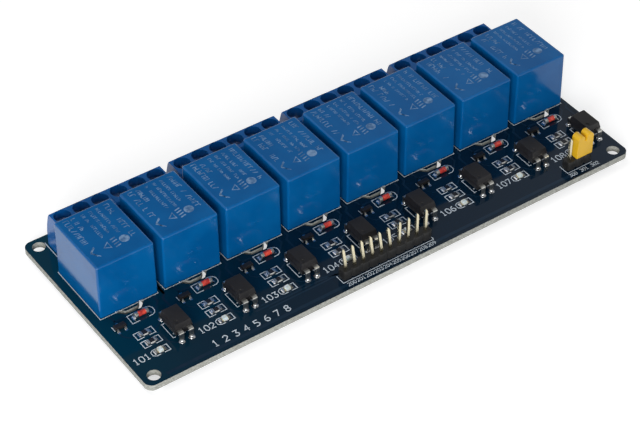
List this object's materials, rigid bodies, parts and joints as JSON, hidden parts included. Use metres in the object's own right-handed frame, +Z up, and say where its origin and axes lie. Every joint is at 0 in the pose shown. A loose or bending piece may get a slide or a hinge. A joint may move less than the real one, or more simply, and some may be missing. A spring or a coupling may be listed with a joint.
{
  "type": "relay module board",
  "caption": "Relay module: a row of sealed relays on a circuit board, with a driver stage in front of each, screw terminals behind and pin headers along the front edge.",
  "frame": {"origin": "under the middle of the board, level with the trimmed ends of the soldered leads", "axes": "+X along the board towards the power header, +Y across the board towards the screw terminals, +Z up, out of the board's component side"},
  "size_m": [0.138, 0.056, 0.0186],
  "materials": {
    "board": "dark blue solder mask, gloss",
    "relay_blue": "moulded, satin",
    "relay_base": "moulded, satin",
    "bobbin": "moulded",
    "copper_winding": "varnished copper wire",
    "soft_iron": "nickel-plated soft iron",
    "contact_brass": "bright brass",
    "spring_bronze": "phosphor bronze strip",
    "tinned_lead": "tin plate",
    "terminal_blue": "moulded, satin",
    "screw_steel": "zinc-plated steel",
    "clamp_plate": "nickel-plated brass",
    "black_moulding": "moulded, satin",
    "resistor_face": "glazed black",
    "diode_glass": "red glass",
    "led_lens": "milky resin",
    "gold_plate": "thin gold plate",
    "header_black": "moulded, satin",
    "jumper_yellow": "moulded, gloss",
    "solder": "bright solder"
  },
  "bodies": {
    "board": {"pcb": "board", "relay_case_1": "relay_blue", "relay_case_2": "relay_blue", "relay_case_3": "relay_blue", "relay_case_4": "relay_blue", "relay_case_5": "relay_blue", "relay_case_6": "relay_blue", "relay_case_7": "relay_blue", "relay_case_8": "relay_blue", "relay_bases": "relay_base", "relay_bobbins": "bobbin", "relay_windings": "copper_winding", "relay_cores": "soft_iron", "relay_yokes": "soft_iron", "relay_contacts": "contact_brass", "relay_coil_pins": "tinned_lead", "relay_hinge_springs": "spring_bronze", "terminal_block_1": "terminal_blue", "terminal_block_2": "terminal_blue", "terminal_block_3": "terminal_blue", "terminal_block_4": "terminal_blue", "terminal_block_5": "terminal_blue", "terminal_block_6": "terminal_blue", "terminal_block_7": "terminal_blue", "terminal_block_8": "terminal_blue", "terminal_screws": "screw_steel", "terminal_clamps": "clamp_plate", "terminal_pins": "tinned_lead", "optocoupler_1": "black_moulding", "optocoupler_2": "black_moulding", "optocoupler_3": "black_moulding", "optocoupler_4": "black_moulding", "optocoupler_5": "black_moulding", "optocoupler_6": "black_moulding", "optocoupler_7": "black_moulding", "optocoupler_8": "black_moulding", "optocoupler_leads": "tinned_lead", "transistor_bodies": "black_moulding", "transistor_leads": "tinned_lead", "resistor_chips": "resistor_face", "resistor_ends": "tinned_lead", "diode_glass": "diode_glass", "diode_ends": "tinned_lead", "led_bodies": "led_lens", "led_ends": "gold_plate", "input_header_body": "header_black", "input_header_pins": "gold_plate", "power_header_body": "header_black", "power_header_pins": "gold_plate", "solder_joints": "solder"},
    "armature_1": {"relay_armature_1": "soft_iron"},
    "armature_2": {"relay_armature_2": "soft_iron"},
    "armature_3": {"relay_armature_3": "soft_iron"},
    "armature_4": {"relay_armature_4": "soft_iron"},
    "armature_5": {"relay_armature_5": "soft_iron"},
    "armature_6": {"relay_armature_6": "soft_iron"},
    "armature_7": {"relay_armature_7": "soft_iron"},
    "armature_8": {"relay_armature_8": "soft_iron"},
    "jumper": {"jumper_cap": "jumper_yellow", "jumper_clip": "spring_bronze"}
  },
  "joints": [
    {"name": "relay_1_hinge", "type": "hinge", "parent": "board", "child": "armature_1", "pos_m": [-0.0591, -0.00225, 0.0142], "axis": [-1, 0, 0], "range_deg": [0, 3], "stiffness_Nm_per_rad": 0.004, "springref_deg": -6.88},
    {"name": "relay_2_hinge", "type": "hinge", "parent": "board", "child": "armature_2", "pos_m": [-0.0421, -0.00225, 0.0142], "axis": [-1, 0, 0], "range_deg": [0, 3], "stiffness_Nm_per_rad": 0.004, "springref_deg": -6.88},
    {"name": "relay_3_hinge", "type": "hinge", "parent": "board", "child": "armature_3", "pos_m": [-0.0251, -0.00225, 0.0142], "axis": [-1, 0, 0], "range_deg": [0, 3], "stiffness_Nm_per_rad": 0.004, "springref_deg": -6.88},
    {"name": "relay_4_hinge", "type": "hinge", "parent": "board", "child": "armature_4", "pos_m": [-0.0081, -0.00225, 0.0142], "axis": [-1, 0, 0], "range_deg": [0, 3], "stiffness_Nm_per_rad": 0.004, "springref_deg": -6.88},
    {"name": "relay_5_hinge", "type": "hinge", "parent": "board", "child": "armature_5", "pos_m": [0.0089, -0.00225, 0.0142], "axis": [-1, 0, 0], "range_deg": [0, 3], "stiffness_Nm_per_rad": 0.004, "springref_deg": -6.88},
    {"name": "relay_6_hinge", "type": "hinge", "parent": "board", "child": "armature_6", "pos_m": [0.0259, -0.00225, 0.0142], "axis": [-1, 0, 0], "range_deg": [0, 3], "stiffness_Nm_per_rad": 0.004, "springref_deg": -6.88},
    {"name": "relay_7_hinge", "type": "hinge", "parent": "board", "child": "armature_7", "pos_m": [0.0429, -0.00225, 0.0142], "axis": [-1, 0, 0], "range_deg": [0, 3], "stiffness_Nm_per_rad": 0.004, "springref_deg": -6.88},
    {"name": "relay_8_hinge", "type": "hinge", "parent": "board", "child": "armature_8", "pos_m": [0.0599, -0.00225, 0.0142], "axis": [-1, 0, 0], "range_deg": [0, 3], "stiffness_Nm_per_rad": 0.004, "springref_deg": -6.88},
    {"name": "jumper_lift", "type": "slide", "parent": "board", "child": "jumper", "axis": [0, 0, 1], "range_m": [0, 0.01]}
  ]
}
